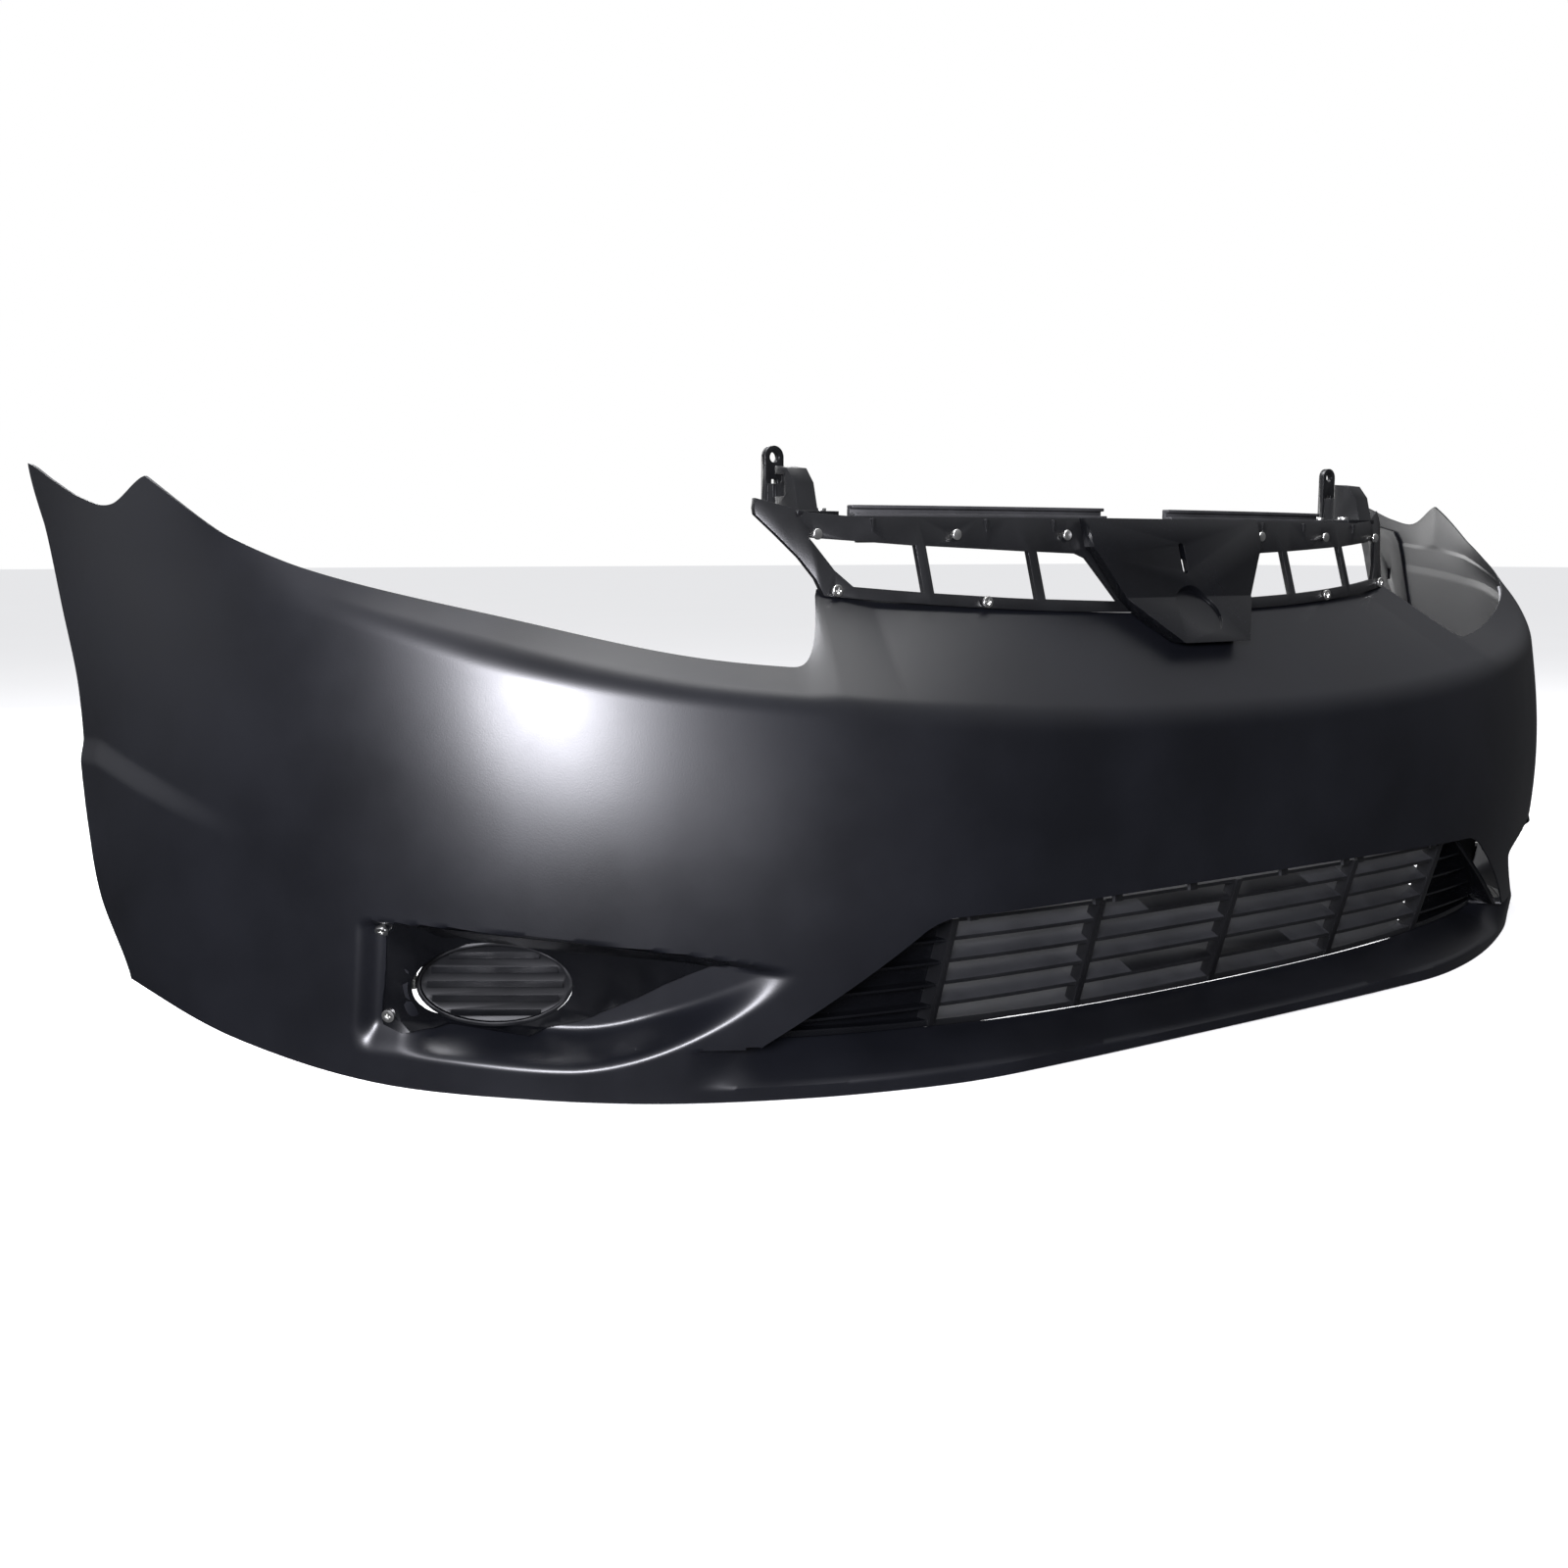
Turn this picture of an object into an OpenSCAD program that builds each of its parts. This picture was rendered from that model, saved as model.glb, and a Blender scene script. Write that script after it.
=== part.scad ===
// Front bumper cover with its grille, fog lamp blanks, brackets and fasteners.
// Frame: +Z up, the nose faces -Y, the car's centre plane is X = 0.
// The origin is the middle of the cover's footprint, level with the lip's lowest edge.

/* [Overall] */
// Overall width across the flanks
cover_w = 1738; // [1500:1:1900]
// Overall depth from the lip to the rear tips
cover_d = 574; // [500:1:660]
// Fullness of the plan shape, larger is squarer
plan_power = 3; // [2.4:0.1:4]

/* [Skin] */
// Thickness of the moulded skin
skin_t = 3; // [2:0.1:5]
// Height of the shoulder crease at the centre
shoulder_z = 280; // [240:1:320]
// Height of the nose edge under the grille base at the centre
nose_z = 363; // [340:1:400]
// Height of the rear tips
tip_z = 490; // [450:1:540]
// How far the nose slope runs back from the crease
nose_run = 82; // [60:1:110]
// How far the lip stands in front of the crease
lip_proud = 8; // [4:1:16]
// How far the lower flank stands out of the upper one
ledge_proud = 5; // [2:0.5:10]
// Rounding reach on both sides of the shoulder crease
crease_reach = 14; // [8:1:20]
// Width of the flange turned in under the lip
flange_w = 24; // [12:1:40]

/* [Lower intake] */
// Half width of the intake along its lower edge
intake_low_x = 482; // [400:1:500]
// Half width of the intake along its upper edge
intake_top_x = 347; // [300:1:400]
// Height of the intake's lower edge at the centre
intake_low_z = 31; // [26:1:40]
// Height of the intake's upper edge
intake_top_z = 136; // [120:1:150]
// Depth of the shelf below the intake
shelf_depth = 45; // [25:1:55]

/* [Lower grille] */
// Number of slats
slat_count = 5; // [3:1:8]
// Depth of one slat from front to back
slat_depth = 28; // [16:1:34]
// Thickness of one slat
slat_t = 3; // [2:0.5:5]
// Rise of one slat from its front to its back
slat_rise = 14; // [4:1:16]
// Half width of the slatted zone
slat_x = 317; // [260:1:330]
// Width of one upright rib
rib_w = 7; // [4:1:12]

/* [Fog lamp recess] */
// Distance of the recess centre from the centre plane
fog_x = 631; // [600:1:650]
// Height of the recess centre
fog_z = 89; // [82:1:98]
// Angle that the blanking plate faces outwards
fog_yaw = 35; // [25:1:45]
// Depth of the recess floor
fog_depth = 40; // [20:1:50]
// Half width of the oval blanking plate
oval_a = 60; // [50:1:64]
// Half height of the oval blanking plate
oval_b = 33; // [28:1:36]
// Number of louvres on the blanking plate
louvre_count = 5; // [3:1:7]

/* [Upper grille base] */
// Height of the base's upper edge
base_top_z = 446; // [430:1:470]
// Thickness of the base's panel
base_t = 5; // [3:0.5:8]
// Half length of the base along its lower edge
base_half_x = 362; // [345:1:380]
// Width of one upright bar
bar_w = 9; // [6:1:16]

/* [Support brackets] */
// Distance of a bracket hole from the centre plane
hole_x = 361; // [345:1:380]
// Height of a bracket hole
hole_z = 495; // [480:1:520]
// Depth position of the bracket holes
hole_y = -69; // [-85:1:-55]
// Radius of a bracket hole
hole_r = 4.5; // [3:0.1:6]
// Radius of the loop around a bracket hole
loop_r = 9.5; // [8:0.5:14]

/* [Fasteners] */
// Radius of a screw shank
screw_r = 2.4; // [2:0.1:3]
// Radius of a screw head
head_r = 5; // [4:0.1:7]
// Clearance between a fastener and its hole
hole_gap = 0.3; // [0.2:0.05:0.6]
// Clearance between neighbouring pieces
fit_gap = 0.4; // [0.2:0.1:1]

/* [Hidden] */
$fn = 48;

// The plan curve is a superellipse, used from the centre plane to this angle
plan_angle = 66;
front_y = -cover_d / 2 + lip_proud;
rear_y = cover_d / 2;
wing_start = 0.6;
bump_at = 0.859;

// Character lines, each at equal steps of the station t from the centre plane to the rear edge
shoulder_rise = [0, 1, 5, 13, 24, 38, 59, 90, 118, 133, 148];
lip_rise = [3, 3, 2, 0, 0, 2, 8, 16, 40, 76, 95];
// Lower edge of the headlamp opening up to the bump, above the nose edge
lamp_edge = [-46, -46, -45, -38, -25, 6, 41, 92];
bump_rise = 20;
// Top edge behind the bump, below the rear tip
wing_edge = [-15, -36, -30, -15, 0];
// Rear edge from the lower corner up to the tip, in front of the tip
corner_z = 75;
arch_y = [-132, -95, -81, -74, -68, -49, -29, 0];

function clamp01(v) = min(1, max(0, v));
function ease(v) = let (c = clamp01(v)) c * c * (3 - 2 * c);
function mix(a, b, f) = a + (b - a) * f;
function knot(list, i) = list[min(len(list) - 1, max(0, i))];
function spline(list, t) =
    let (n = len(list) - 1, s = clamp01(t) * n, i = min(n - 1, floor(s)), f = s - i,
         a = knot(list, i - 1), b = knot(list, i), c = knot(list, i + 1), d = knot(list, i + 2))
    b + 0.5 * f * ((c - a) + f * ((2 * a - 5 * b + 4 * c - d) + f * (3 * (b - c) + d - a)));

// Plan curve: station 0 is the centre plane, station 1 the rear edge of a full-depth flank
plan_tip = let (a = sin(plan_angle), b = cos(plan_angle))
    pow(pow(a, plan_power) + pow(b, plan_power), -1 / plan_power);
// Half axes that put station 1 on the full width and on the rear edge
plan_w = cover_w / 2 / (plan_tip * sin(plan_angle));
plan_d = (rear_y - front_y) / (1 - plan_tip * cos(plan_angle));
function plan(t, inset) =
    let (a = sin(plan_angle * t), b = cos(plan_angle * t),
         r = pow(pow(a, plan_power) + pow(b, plan_power), -1 / plan_power))
    [(plan_w - inset) * r * a, front_y + plan_d - (plan_d - inset) * r * b];
function station_of_x(x) =
    let (a = x / plan_w) atan2(a, pow(1 - pow(a, plan_power), 1 / plan_power)) / plan_angle;
function station_of_y(y) =
    let (b = clamp01((front_y + plan_d - y) / plan_d))
    atan2(pow(1 - pow(b, plan_power), 1 / plan_power), b) / plan_angle;
function plan_y(x) = plan(station_of_x(abs(x)), 0)[1];

// Heights of the character lines
function lip_at(t) = max(0, spline(lip_rise, t));
function shoulder_at(t) = shoulder_z + spline(shoulder_rise, t);
function nose_top(x) = nose_z + 18 * pow(x / base_half_x, 2);
function wing_top(t) = t < bump_at
    ? nose_z + spline(lamp_edge, t / bump_at) + bump_rise * pow(clamp01((t - bump_at) / 0.069 + 1), 1.5)
    : tip_z + spline(wing_edge, (t - bump_at) / (1 - bump_at));

// Lower corner of the headlamp opening: 1 beside the grille base, 0 outboard of the corner
lamp_in_x = base_half_x + 56;
lamp_corner_r = 36;
function lamp_rise(x) = pow(1 - clamp01((abs(x) - lamp_in_x) / lamp_corner_r), 3);
function edge_z(t, x) = mix(wing_top(t), nose_top(min(abs(x), lamp_in_x)), lamp_rise(x));
lamp_run = 40;
function edge_run(t, x) =
    let (f = clamp01(abs(x) / base_half_x))
    mix(lamp_run * (1 - ease((t - 0.45) / (bump_at - 0.45))), nose_run + 32 * f * f, lamp_rise(x));

// Section of the skin at station t: k 0..1 is the face, 1..2 the rounded crease, 2..3 the nose slope
// The face leans out to the lip in front and has a belly at the corners
corner_belly = 17;
function face_inset(t, h) =
    mix(-lip_proud, 8 * (1 - ease((t - 0.65) / 0.2)), ease((t - 0.25) / 0.25)) * (1 - h * h)
    - corner_belly * ease((t - 0.08) / 0.37) * (1 - ease((t - 0.6) / 0.35)) * sin(180 * pow(h, 1.1));
function section(t, k) =
    let (x = plan(t, 0)[0], low = lip_at(t), mid = shoulder_at(t), top = edge_z(t, x), run = edge_run(t, x),
         len = max(1, sqrt(run * run + pow(top - mid, 2))), reach = min(crease_reach, 0.4 * len),
         a = [face_inset(t, (mid - reach - low) / (mid - low)), mid - reach],
         c = [0, mid], dir = [run, top - mid] / len, b = c + reach * dir, u = k - 1)
    k < 0 ? [mix(face_inset(t, 0), flange_w, -k), low + 2 * -k]
    : k <= 1 ? [face_inset(t, (a[1] - low) * k / (mid - low)), mix(low, a[1], k)]
    : k <= 2 ? (1 - u) * (1 - u) * a + 2 * u * (1 - u) * c + u * u * b
    : mix(b, [run, top], k - 2);

// Recess of the fog lamp pocket, in the front view
seat_depth = 11;
seat_w = 22;
fog_out_x = fog_x + 100;
fog_in_x = fog_x - 182;
fog_full_x = fog_x - 58;
function fog_top(x) =
    let (f = clamp01((fog_out_x - x) / (fog_out_x - fog_in_x))) fog_z + mix(58, 14, f) + 20 * f * (1 - f);
function fog_low(x) = fog_z + (x < fog_x - 26
    ? mix(-60, 13, pow(clamp01((fog_x - 26 - x) / (fog_x - 26 - fog_in_x)), 1.7))
    : mix(-60, -50, ease((x - fog_x + 26) / 120)));
function fog_recess(x, z) =
    let (f = ease((x - fog_in_x) / (fog_full_x - fog_in_x)),
         seat = seat_depth * ease((fog_out_x - x) / 10),
         floor = (fog_depth - seat_depth) * ease((fog_out_x - seat_w - x) / 26))
    (seat + floor) * f * ease((fog_top(x) - z) / 9) * ease((z - fog_low(x)) / 26);

// Recess that leads into the lower intake
function intake_low(x) = intake_low_z + 12 * pow(x / intake_low_x, 2);
function intake_edge_x(z) =
    let (corner_z = intake_low(intake_low_x))
    mix(intake_low_x, intake_top_x, clamp01((z - corner_z) / (intake_top_z - corner_z)));
shelf_front_z = 12;
function intake_recess(x, z) =
    let (zl = intake_low(min(x, intake_low_x)),
         side = z > zl ? 1 - ease((x - intake_edge_x(z) + 30) / 30) : 1 - ease((x - intake_low_x + 20) / 70))
    z > intake_top_z ? 0 : shelf_depth * side * clamp01((z - shelf_front_z) / (zl - shelf_front_z))
        * ease((intake_top_z - z) / 20);

// Step along the flank below which the skin stands out, fading towards the front
function ledge_z(t) = mix(203, 256, clamp01((t - 0.78) / 0.14));
function ledge(t, z) = ledge_proud * ease((ledge_z(t) - z + 11) / 22) * ease((t - 0.76) / 0.14);

// Height of the rear edge's points, used to place the wheel arch
function rear_z(k) = lookup(k, [[0, corner_z], [1, tip_z - 79], [2, tip_z - 51], [3, tip_z]]);
function t_end(k) = station_of_y(rear_y + spline(arch_y, (rear_z(k) - corner_z) / (tip_z - corner_z)));
function station(s, k) = s < wing_start ? s : mix(wing_start, t_end(k), (s - wing_start) / (1 - wing_start));

// Point of the skin's outer face: s runs from the centre plane (0) to the rear edge (1)
function skin_half(s, k) =
    let (t = station(s, k), p = section(t, k), x = plan(t, p[0])[0], z = p[1],
         extra = k < 0 ? 0 : fog_recess(x, z) + intake_recess(x, z) - ledge(t, z),
         q = plan(t, p[0] + extra))
    [q[0], q[1], z];
function skin(s, k) = let (p = skin_half(abs(s), k)) [s < 0 ? -p[0] : p[0], p[1], p[2]];
function unit(v) = v / norm(v);
// Outward normal from the neighbouring points
function skin_normal(s, k) =
    let (e = 0.003, s0 = max(-1, s - e), s1 = min(1, s + e), k0 = max(-1, k - 0.02), k1 = min(3, k + 0.02))
    unit(cross(skin(s1, k) - skin(s0, k), skin(s, k1) - skin(s, k0)));
// The same surface without its recesses. Its normals change slowly, so a sheet offset along them never folds
function plain(s, k) =
    let (t = station(abs(s), k), p = section(t, k), q = plan(t, p[0])) [s < 0 ? -q[0] : q[0], q[1], p[1]];
function plain_normal(s, k) =
    let (e = 0.003, s0 = max(-1, s - e), s1 = min(1, s + e), k0 = max(-1, k - 0.02), k1 = min(3, k + 0.02))
    unit(cross(plain(s1, k) - plain(s0, k), plain(s, k1) - plain(s, k0)));
function skin_off(s, k, d) = skin(s, k) + d * plain_normal(s, k);

// Closed sheet between two offsets of the skin, over the stations and section steps listed
module skin_sheet(s_list, k_list, d_out, d_in) {
    sheet(s_list, len(k_list), [for (s = s_list) for (k = k_list) skin_off(s, k, d_out)],
        [for (s = s_list) for (k = k_list) skin_off(s, k, d_in)]);
}
module sheet(s_list, m, outer, inner) {
    n = len(s_list);
    b = n * m;
    faces = concat(
        [for (i = [0 : n - 2]) for (j = [0 : m - 2])
            each side_quad(s_list[i] < 0, i * m + j, (i + 1) * m + j, (i + 1) * m + j + 1, i * m + j + 1)],
        [for (i = [0 : n - 2]) for (j = [0 : m - 2])
            each side_quad(s_list[i] >= 0, b + i * m + j + 1, b + (i + 1) * m + j + 1,
                b + (i + 1) * m + j, b + i * m + j)],
        [for (i = [0 : n - 2]) each quad(b + i * m, b + (i + 1) * m, (i + 1) * m, i * m)],
        [for (i = [0 : n - 2])
            each quad(i * m + m - 1, (i + 1) * m + m - 1, b + (i + 1) * m + m - 1, b + i * m + m - 1)],
        [for (j = [0 : m - 2]) each quad(j, j + 1, b + j + 1, b + j)],
        [for (j = [0 : m - 2]) each quad(b + (n - 1) * m + j, b + (n - 1) * m + j + 1,
            (n - 1) * m + j + 1, (n - 1) * m + j)]);
    polyhedron(concat(outer, inner), faces, convexity = 8);
}
// A quad given anticlockwise from outside, as two clockwise triangles
function quad(a, b, c, d) = [[a, c, b], [a, d, c]];
// The left half is split along the other diagonal, which makes it the mirror image of the right
function side_quad(left, a, b, c, d) = left ? quad(b, c, d, a) : quad(a, b, c, d);

// Solid through a list of closed loops with the same number of points
module loft(loops) {
    n = len(loops);
    m = len(loops[0]);
    faces = concat(
        [for (i = [0 : n - 2]) for (j = [0 : m - 1]) let (j2 = (j + 1) % m)
            each quad(i * m + j, (i + 1) * m + j, (i + 1) * m + j2, i * m + j2)],
        [for (j = [1 : m - 2]) [0, j + 1, j]],
        [for (j = [1 : m - 2]) [(n - 1) * m, (n - 1) * m + j, (n - 1) * m + j + 1]]);
    polyhedron([for (l = loops) each l], faces, convexity = 6);
}

function range(a, b, n) = [for (i = [0 : n]) a + (b - a) * i / n];
function drop_first(list) = [for (i = [1 : len(list) - 1]) list[i]];
function reverse(list) = [for (i = [len(list) - 1 : -1 : 0]) list[i]];

// Stations and section steps of the skin
half_s = concat(range(0, 0.36, 9), drop_first(range(0.36, 0.72, 21)), drop_first(range(0.72, 1, 12)));
full_s = concat([for (s = reverse(drop_first(half_s))) -s], half_s);
skin_k = concat([-1], range(0, 1, 20), [1.33, 1.67, 2, 2.33, 2.67, 3]);

module both_sides() {
    children();
    mirror([1, 0, 0]) children();
}
module front_prism(y0, y1) {
    translate([0, y1, 0]) rotate([90, 0, 0]) linear_extrude(y1 - y0) children();
}

// Places children on the skin with +Z along its outward normal
module at_skin(s, k) {
    n = skin_normal(s, k);
    translate(skin(s, k)) rotate([0, acos(n[2]), atan2(n[1], n[0])]) children();
}

// ---- skin ----
module intake_cutter() {
    xs = range(-intake_low_x, intake_low_x, 28);
    front_prism(front_y - 60, front_y + 140)
        polygon(concat([for (x = xs) [x, intake_low(x)]],
            [[intake_top_x, intake_top_z], [-intake_top_x, intake_top_z]]));
}
function oval(a, b, n) = [for (i = [0 : n - 1]) [a * cos(360 * i / n), b * sin(360 * i / n)]];
fog_setback = 60.7;
fog_y = plan_y(fog_x) + fog_setback;
// Local frame of the right pocket: -Y looks out of the blanking plate
module at_fog() {
    translate([fog_x, fog_y, fog_z]) rotate([0, 0, fog_yaw]) children();
}
module oval_prism(a, b, y0, y1) {
    front_prism(y0, y1) polygon(oval(a, b, 48));
}
lamp_hole_gap = 3;
module bezel_screw_holes() {
    for (k = bezel_screw_k) at_skin(bezel_screw_s(k), k)
        cylinder(h = 12 * skin_t, r = screw_r + hole_gap, center = true);
}
module bumper_cover() {
    color("#202226") resize([0, 0, 0]) difference() {
        skin_sheet(full_s, skin_k, 0, -skin_t);
        intake_cutter();
        both_sides() {
            at_fog() oval_prism(oval_a + lamp_hole_gap, oval_b + lamp_hole_gap, -60, 60);
            bezel_screw_holes();
        }
    }
}

// ---- upper grille base ----
base_mid_y = front_y + 79;
base_lean = 0.3;
base_sweep = 30.5;
// The base follows the plan curve and sweeps back by base_sweep more at its ends
function base_y(x) = base_mid_y + plan_y(x) - front_y + base_sweep * pow(x / 345, 2);
function base_face_y(x, z) = base_y(x) + base_lean * (z - nose_edge(x));
function base_top_y(x) = base_face_y(x, base_top_z);
window_low_h = 10;
window_top_z = base_top_z - 32;
function window_top(x) = window_top_z + 14 * pow(x / base_half_x, 2);
function nose_edge(x) = nose_top(min(abs(x), base_half_x));
bar_a_x = 272.5;
bar_b_x = 164.5;
window_in_x = 79;
window_in_top_x = 106;
window_out_x = 337;
window_out_top_x = 366;
// End arms: each point is the distance outboard of base_half_x and the height above the nose edge there
arm_low = [[0, 0.4], [4, 14], [14, 31], [29, 50], [43, 67]];
arm_high = [[-8, 65], [40, 79], [43, 67]];
function arm_z(list, x) = nose_edge(base_half_x) + lookup(abs(x) - base_half_x, list);
function base_low(x) = abs(x) <= base_half_x ? nose_edge(x) + fit_gap : arm_z(arm_low, x);
function base_high(x) = abs(x) <= base_half_x - 8 ? base_top_z : arm_z(arm_high, x);
base_x = concat(range(-base_half_x, base_half_x, 24), [for (d = [4, 14, 29, 40, 42]) base_half_x + d]);
base_full_x = concat([for (d = [42, 40, 29, 14, 4]) -base_half_x - d], base_x);
module base_window(x0, x1_low, x1) {
    polygon(concat([for (x = range(x0, x1_low, 6)) [x, nose_edge(x) + window_low_h]],
        [[x1, window_top(x1)], [x0, window_top(x0)]]));
}
module base_windows() {
    half_bar = bar_w / 2;
    polygon(concat([for (x = range(bar_a_x + half_bar, window_out_x, 6)) [x, nose_edge(x) + window_low_h]],
        [[window_out_x + 13, nose_edge(350) + 22], [window_out_top_x, window_top(window_out_top_x)],
         [bar_a_x + half_bar, window_top(bar_a_x)]]));
    base_window(bar_b_x + half_bar, bar_a_x - half_bar, bar_a_x - half_bar);
    polygon([[window_in_x, nose_edge(window_in_x) + window_low_h],
        [bar_b_x - half_bar, nose_edge(bar_b_x) + window_low_h],
        [bar_b_x - half_bar, window_top(bar_b_x)],
        [window_in_top_x + 10, window_top(window_in_top_x)],
        [window_in_top_x, window_top(window_in_top_x) - 4]]);
}
shelf_t = 4;
shelf_run = 50;
nose_screw_x = [221, 352];
rail_clip_x = [127, 240, 361];
rail_clip_z = base_top_z - 15;
function nose_screw_z(x) = nose_edge(x) + window_low_h / 2 + 0.5;
// Curved band of the top shelf, measured from the base's top edge
module shelf_band(half, y0, y1) {
    xs = range(-half, half, 32);
    polygon(concat([for (x = xs) [x, base_top_y(x) + y0]], [for (x = reverse(xs)) [x, base_top_y(x) + y1]]));
}
module base_ribs() {
    for (x = [50, 135, 205, 310])
        translate([x, base_face_y(x, base_top_z - 24) + base_t - 1, base_top_z - 24]) cube([3, 24, 22]);
}
module upper_grille_base() {
    color("#141518") difference() {
        union() {
            loft([for (x = base_full_x) let (z0 = base_low(x), z1 = base_high(x))
                [[x, base_face_y(x, z0) + base_t, z0], [x, base_face_y(x, z0), z0],
                 [x, base_face_y(x, z1), z1], [x, base_face_y(x, z1) + base_t, z1]]]);
            translate([0, 0, base_top_z - shelf_t]) linear_extrude(shelf_t)
                shelf_band(base_half_x + 12, 2, shelf_run);
            both_sides() base_ribs();
        }
        both_sides() front_prism(front_y, rear_y) base_windows();
        // Opening behind the emblem panel
        front_prism(front_y, rear_y) polygon([[-30, window_top_z - 4], [30, window_top_z - 4],
            [22, nose_z + window_low_h + 6], [-22, nose_z + window_low_h + 6]]);
        both_sides() {
            for (x = rail_clip_x) translate([x, base_face_y(x, rail_clip_z), rail_clip_z]) rotate([90, 0, 0])
                cylinder(h = 40, r = clip_r + hole_gap, center = true);
            for (x = nose_screw_x) translate([x, base_y(x), nose_screw_z(x)]) rotate([90, 0, 0])
                cylinder(h = 40, r = screw_r + hole_gap, center = true);
            for (y = foot_screw_y) translate([foot_screw_x, y, base_top_z])
                cylinder(h = 30, r = screw_r + hole_gap, center = true);
        }
    }
}

// ---- emblem panel ----
panel_face_z = 377;
panel_low_z = 338;
panel_proud = 11;
panel_half_x = 110;
panel_tip_x = 42;
tip_proud = 18;
panel_wall = 5;
hollow_half_x = 68;
seat_r = 25;
seat_sink = 2.5;
hollow_low_z = panel_face_z - 12 + seat_r;
module emblem_panel() {
    slope = nose_run / (nose_z - shoulder_z);
    function back_y(z) = base_face_y(0, z) - fit_gap;
    function nose_face_y(z) = front_y + (z - shoulder_z) * slope - 3 * fit_gap;
    top_y = back_y(base_top_z) - panel_proud;
    bend_y = back_y(panel_face_z) - panel_proud;
    low_y = nose_face_y(panel_low_z) - tip_proud;
    tilt = atan((bend_y - low_y) / (panel_face_z - panel_low_z));
    color("#17181b") difference() {
        intersection() {
            rotate([90, 0, 90]) translate([0, 0, -panel_half_x]) linear_extrude(2 * panel_half_x)
                polygon([[back_y(base_top_z), base_top_z], [top_y, base_top_z], [bend_y, panel_face_z],
                    [low_y, panel_low_z], [nose_face_y(panel_low_z), panel_low_z],
                    [nose_face_y(nose_z - 4), nose_z - 4], [back_y(nose_z + 1), nose_z + 1]]);
            front_prism(front_y - 20, rear_y) polygon([[-panel_half_x, base_top_z],
                [-panel_half_x, window_top_z + 7], [-panel_half_x + 6, window_top_z], [-window_in_x, nose_z + 11], [-panel_tip_x, panel_low_z],
                [panel_tip_x, panel_low_z], [window_in_x, nose_z + 11], [panel_half_x - 6, window_top_z],
                [panel_half_x, window_top_z + 7], [panel_half_x, base_top_z]]);
        }
        // Hollow behind the face, above the badge's seat
        rotate([90, 0, 90]) translate([0, 0, -hollow_half_x]) linear_extrude(2 * hollow_half_x)
            polygon([[back_y(base_top_z) + panel_wall, base_top_z - panel_wall],
                [top_y + panel_wall, base_top_z - panel_wall],
                [back_y(hollow_low_z) - panel_proud + panel_wall, hollow_low_z],
                [back_y(hollow_low_z) + panel_wall, hollow_low_z]]);
        // Slot for the badge's locating lug
        front_prism(front_y, rear_y) translate([0, window_top_z - 3]) {
            square([7, 20], center = true);
            for (s = [-1, 1]) translate([0, 10 * s]) circle(r = 3.5);
        }
        // Shallow round seat where a badge would sit
        translate([0, bend_y - 10, panel_face_z - 12]) rotate([88 - tilt, 0, 0])
            translate([0, 0, -seat_sink]) cylinder(h = 20, r = seat_r);
    }
}

// ---- support brackets ----
foot_t = 4;
foot_y0 = base_top_y(361) + 3;
foot_screw_y = [foot_y0 + 14, foot_y0 + 44];
foot_screw_x = hole_x - 21;
module support_bracket() {
    arm_w = 20;
    difference() {
        union() {
            translate([hole_x - 30, foot_y0, base_top_z]) cube([42, hole_y - foot_y0 + 3, foot_t]);
            translate([hole_x - arm_w / 2, foot_y0 + 2, base_top_z + foot_t])
                rotate([90, 0, 90]) linear_extrude(arm_w) polygon([[0, 0], [hole_y - foot_y0 - 20, 0],
                    [hole_y - foot_y0 - 20, hole_z - base_top_z - 12], [16, hole_z - base_top_z - 14],
                    [6, hole_z - base_top_z - 26]]);
            translate([hole_x - loop_r, hole_y - 3, base_top_z])
                cube([2 * loop_r, 6, hole_z - base_top_z]);
            translate([hole_x - arm_w / 2 + 3, hole_y - 20, base_top_z + foot_t - 1])
                cube([arm_w - 6, 18, 24]);
            translate([hole_x, hole_y - 3, hole_z]) rotate([-90, 0, 0]) cylinder(h = 6, r = loop_r);
        }
        translate([hole_x, hole_y, hole_z]) rotate([90, 0, 0]) cylinder(h = 20, r = hole_r, center = true);
        // Slot between the two legs under the loop
        translate([hole_x - 3, hole_y - 4, hole_z - 36]) cube([6, 8, 18]);
        // Weight-saving pocket in the outboard face of the arm
        translate([hole_x + arm_w / 2 - 6, foot_y0 + 22, base_top_z + 16]) cube([7, 20, 18]);
        for (y = foot_screw_y) translate([foot_screw_x, y, base_top_z])
            cylinder(h = 30, r = screw_r + hole_gap, center = true);
    }
}
module support_bracket_right() { color("#17181b") support_bracket(); }
module support_bracket_left() { color("#17181b") mirror([1, 0, 0]) support_bracket(); }

// ---- top seals ----
seal_in_x = 42;
seal_out_x = 305;
seal_run = 40;
seal_h = 10;
seal_wall = 4;
seal_flange_t = 3;
// Curved strip along the shelf, y0 and y1 measured from the seal's front face
module seal_band(y0, y1) {
    xs = range(seal_in_x, seal_out_x, 10);
    polygon(concat([for (x = xs) [x, base_top_y(x) + seal_run + y0]],
        [for (x = reverse(xs)) [x, base_top_y(x) + seal_run + y1]]));
}
module top_seal() {
    translate([0, 0, base_top_z]) {
        linear_extrude(seal_h)
            seal_band(0, seal_wall);
        linear_extrude(seal_flange_t)
            seal_band(-2 * seal_wall, 0);
        translate([0, 0, seal_h - seal_flange_t]) linear_extrude(seal_flange_t)
            seal_band(-seal_wall, 0);
    }
}
module top_seal_right() { color("#1c1d20") top_seal(); }
module top_seal_left() { color("#1c1d20") mirror([1, 0, 0]) top_seal(); }

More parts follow.
